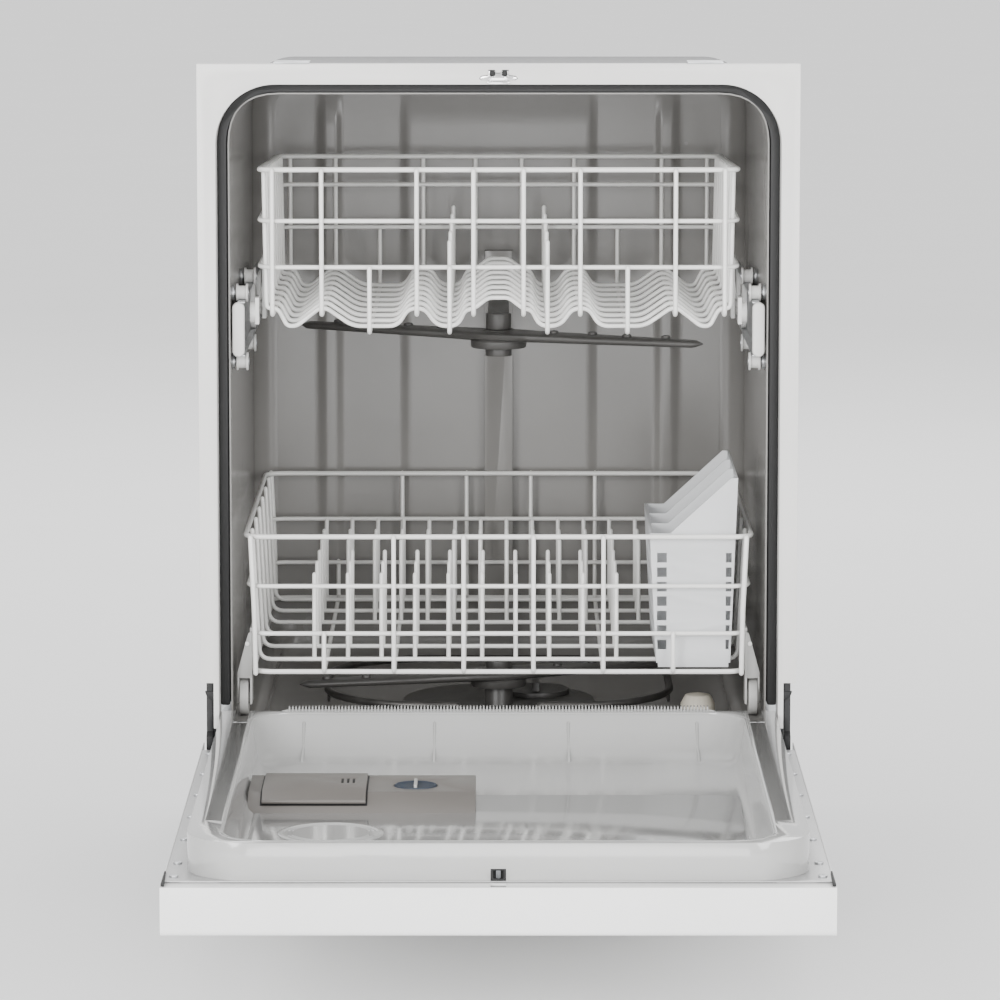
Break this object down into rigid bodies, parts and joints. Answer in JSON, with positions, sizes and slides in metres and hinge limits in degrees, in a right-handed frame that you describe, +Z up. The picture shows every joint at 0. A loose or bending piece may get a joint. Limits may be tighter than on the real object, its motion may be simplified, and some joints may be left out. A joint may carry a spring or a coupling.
{
  "type": "built in dishwasher",
  "caption": "Front-loading built-in dishwasher with a drop-down door, two wire racks on wheels, spray arms and a silverware basket.",
  "frame": {"origin": "on the floor, below the middle of the object's box with its door open", "axes": "+X to the right seen from the front, +Y back into the cabinet, +Z up"},
  "size_m": [0.606, 1.26, 0.8615],
  "materials": {
    "flange_white": "satin white baked enamel",
    "door_white": "gloss white baked enamel",
    "console_white": "moulded white plastic",
    "liner_plastic": "glossy light grey plastic",
    "tub_grey": "warm grey moulded plastic",
    "gasket_rubber": "matt black rubber",
    "rack_vinyl": "white vinyl coating on steel wire",
    "white_plastic": "moulded white plastic",
    "basket_plastic": "light grey moulded plastic",
    "dark_plastic": "dark grey moulded plastic",
    "dispenser_grey": "warm grey moulded plastic",
    "galvanised": "galvanised sheet steel",
    "bright_steel": "plated steel",
    "element_steel": "oxidised steel sheath",
    "black_plastic": "black moulded plastic",
    "felt": "bonded fibre blanket",
    "motor_metal": "motor case",
    "board_green": "circuit board",
    "float_cream": "cream moulded plastic",
    "toe_black": "black enamel"
  },
  "bodies": {
    "root": {"tub": "tub_grey", "front_frame": "flange_white", "door_gasket": "gasket_rubber", "door_strike": "bright_steel", "sound_blanket": "felt", "base_frame": "galvanised", "levelling_legs": "galvanised", "toe_panel": "toe_black", "counter_brackets": "galvanised", "sump": "dark_plastic", "wash_pump": "motor_metal", "drain_pump": "black_plastic", "inlet_valve": "white_plastic", "junction_box": "galvanised", "heating_element": "element_steel", "filter_plate": "dark_plastic", "filter_cup": "dark_plastic", "feed_tube": "tub_grey", "float_guide": "white_plastic", "hinge_brackets": "black_plastic", "door_springs": "bright_steel", "roller_pins": "galvanised"},
    "door": {"door_outer_panel": "door_white", "door_frame": "galvanised", "door_liner": "liner_plastic", "splash_fringe": "liner_plastic", "console": "console_white", "control_board": "board_green", "latch_housing": "black_plastic", "dispenser_body": "dispenser_grey", "door_vent": "liner_plastic", "door_screws": "bright_steel", "hinge_arms": "galvanised"},
    "latch_hook": {"latch_hook": "bright_steel"},
    "detergent_lid": {"detergent_lid": "dispenser_grey"},
    "rinse_cap": {"rinse_cap": "dispenser_grey"},
    "cycle_button": {"cycle_button": "white_plastic"},
    "options_button": {"options_button": "white_plastic"},
    "start_button": {"start_button": "white_plastic"},
    "spring_links": {"spring_links": "bright_steel"},
    "float_dome": {"float_dome": "float_cream"},
    "lower_spray_arm": {"lower_spray_arm": "dark_plastic"},
    "upper_spray_arm": {"upper_spray_arm": "dark_plastic"},
    "tub_roller_front_upper": {"tub_roller_front_upper": "white_plastic"},
    "tub_roller_front_lower": {"tub_roller_front_lower": "white_plastic"},
    "tub_roller_rear_upper": {"tub_roller_rear_upper": "white_plastic"},
    "tub_roller_rear_lower": {"tub_roller_rear_lower": "white_plastic"},
    "upper_wheels_front": {"upper_wheels_front": "white_plastic"},
    "upper_wheels_rear": {"upper_wheels_rear": "white_plastic"},
    "lower_wheels_front": {"lower_wheels_front": "basket_plastic"},
    "lower_wheels_rear": {"lower_wheels_rear": "basket_plastic"},
    "silverware_basket": {"silverware_basket": "basket_plastic"},
    "rails": {"upper_rails": "galvanised", "rail_caps": "white_plastic"},
    "upper_basket": {"upper_rack": "rack_vinyl", "upper_rack_carriers": "white_plastic", "upper_manifold": "dark_plastic"},
    "lower_basket": {"lower_rack": "rack_vinyl", "lower_rack_carriers": "basket_plastic"}
  },
  "joints": [
    {"name": "door_hinge", "type": "hinge", "parent": "root", "child": "door", "pos_m": [0, 0.06, 0.17], "axis": [-1, 0, 0], "range_deg": [0, 90]},
    {"name": "spring_link_slide", "type": "slide", "parent": "root", "child": "spring_links", "axis": [0, 1, 0], "range_m": [-0.0646, 0], "deforming": ["door_springs"]},
    {"name": "upper_rails_slide", "type": "slide", "parent": "root", "child": "rails", "axis": [0, 1, 0], "range_m": [-0.22, 0]},
    {"name": "upper_rack_slide", "type": "slide", "parent": "rails", "child": "upper_basket", "axis": [0, 1, 0], "range_m": [-0.22, 0]},
    {"name": "lower_rack_slide", "type": "slide", "parent": "root", "child": "lower_basket", "axis": [0, 1, 0], "range_m": [-0.5, 0]},
    {"name": "tub_roller_front_upper_spin", "type": "hinge", "parent": "root", "child": "tub_roller_front_upper", "pos_m": [0, 0.122, 0.6242], "axis": [1, 0, 0], "range_deg": [-1805, 0]},
    {"name": "tub_roller_front_lower_spin", "type": "hinge", "parent": "root", "child": "tub_roller_front_lower", "pos_m": [0, 0.122, 0.5538], "axis": [1, 0, 0], "range_deg": [0, 1805]},
    {"name": "tub_roller_rear_upper_spin", "type": "hinge", "parent": "root", "child": "tub_roller_rear_upper", "pos_m": [0, 0.3, 0.6242], "axis": [1, 0, 0], "range_deg": [-1805, 0]},
    {"name": "tub_roller_rear_lower_spin", "type": "hinge", "parent": "root", "child": "tub_roller_rear_lower", "pos_m": [0, 0.3, 0.5538], "axis": [1, 0, 0], "range_deg": [0, 1805]},
    {"name": "upper_wheels_front_roll", "type": "hinge", "parent": "upper_basket", "child": "upper_wheels_front", "pos_m": [0, 0.36, 0.589], "axis": [1, 0, 0], "range_deg": [0, 490]},
    {"name": "upper_wheels_rear_roll", "type": "hinge", "parent": "upper_basket", "child": "upper_wheels_rear", "pos_m": [0, 0.5, 0.589], "axis": [1, 0, 0], "range_deg": [0, 490]},
    {"name": "lower_wheels_front_roll", "type": "hinge", "parent": "lower_basket", "child": "lower_wheels_front", "pos_m": [0, 0.126, 0.2063], "axis": [1, 0, 0], "range_deg": [0, 1510]},
    {"name": "lower_wheels_rear_roll", "type": "hinge", "parent": "lower_basket", "child": "lower_wheels_rear", "pos_m": [0, 0.56, 0.2063], "axis": [1, 0, 0], "range_deg": [0, 1510]},
    {"name": "upper_arm_spin", "type": "hinge", "parent": "upper_basket", "child": "upper_spray_arm", "pos_m": [0, 0.33, 0.553], "axis": [0, 0, 1], "continuous": true},
    {"name": "lower_arm_spin", "type": "hinge", "parent": "root", "child": "lower_spray_arm", "pos_m": [0, 0.33, 0.19], "axis": [0, 0, 1], "continuous": true},
    {"name": "basket_lift", "type": "slide", "parent": "lower_basket", "child": "silverware_basket", "axis": [0, 0, 1], "range_m": [0, 0.1]},
    {"name": "float_lift", "type": "slide", "parent": "root", "child": "float_dome", "axis": [0, 0, 1], "range_m": [0, 0.012]},
    {"name": "detergent_lid_hinge", "type": "hinge", "parent": "door", "child": "detergent_lid", "pos_m": [-0.178, -0.2519, 0.1685], "axis": [1, 0, 0], "range_deg": [0, 95]},
    {"name": "rinse_cap_turn", "type": "hinge", "parent": "door", "child": "rinse_cap", "pos_m": [-0.0805, -0.195, 0.17], "axis": [0, 0, 1], "range_deg": [0, 90]},
    {"name": "latch_hook_pivot", "type": "hinge", "parent": "door", "child": "latch_hook", "pos_m": [0, -0.622, 0.146], "axis": [1, 0, 0], "range_deg": [0, 6], "stiffness_Nm_per_rad": 0.02},
    {"name": "cycle_button_press", "type": "slide", "parent": "door", "child": "cycle_button", "axis": [0, 0, 1], "range_m": [0, 0.0015], "stiffness_N_per_m": 200},
    {"name": "options_button_press", "type": "slide", "parent": "door", "child": "options_button", "axis": [0, 0, 1], "range_m": [0, 0.0015], "stiffness_N_per_m": 200},
    {"name": "start_button_press", "type": "slide", "parent": "door", "child": "start_button", "axis": [0, 0, 1], "range_m": [0, 0.0015], "stiffness_N_per_m": 200}
  ],
  "couplings": [
    {"joint": "spring_link_slide", "follows": "door_hinge", "m_per_rad": -0.041062},
    {"joint": "tub_roller_front_upper_spin", "follows": "upper_rails_slide", "rad_per_m": 142.86},
    {"joint": "tub_roller_front_lower_spin", "follows": "upper_rails_slide", "rad_per_m": -142.86},
    {"joint": "tub_roller_rear_upper_spin", "follows": "upper_rails_slide", "rad_per_m": 142.86},
    {"joint": "tub_roller_rear_lower_spin", "follows": "upper_rails_slide", "rad_per_m": -142.86},
    {"joint": "upper_wheels_front_roll", "follows": "upper_rack_slide", "rad_per_m": -38.76},
    {"joint": "upper_wheels_rear_roll", "follows": "upper_rack_slide", "rad_per_m": -38.76},
    {"joint": "lower_wheels_front_roll", "follows": "lower_rack_slide", "rad_per_m": -52.632},
    {"joint": "lower_wheels_rear_roll", "follows": "lower_rack_slide", "rad_per_m": -52.632}
  ]
}
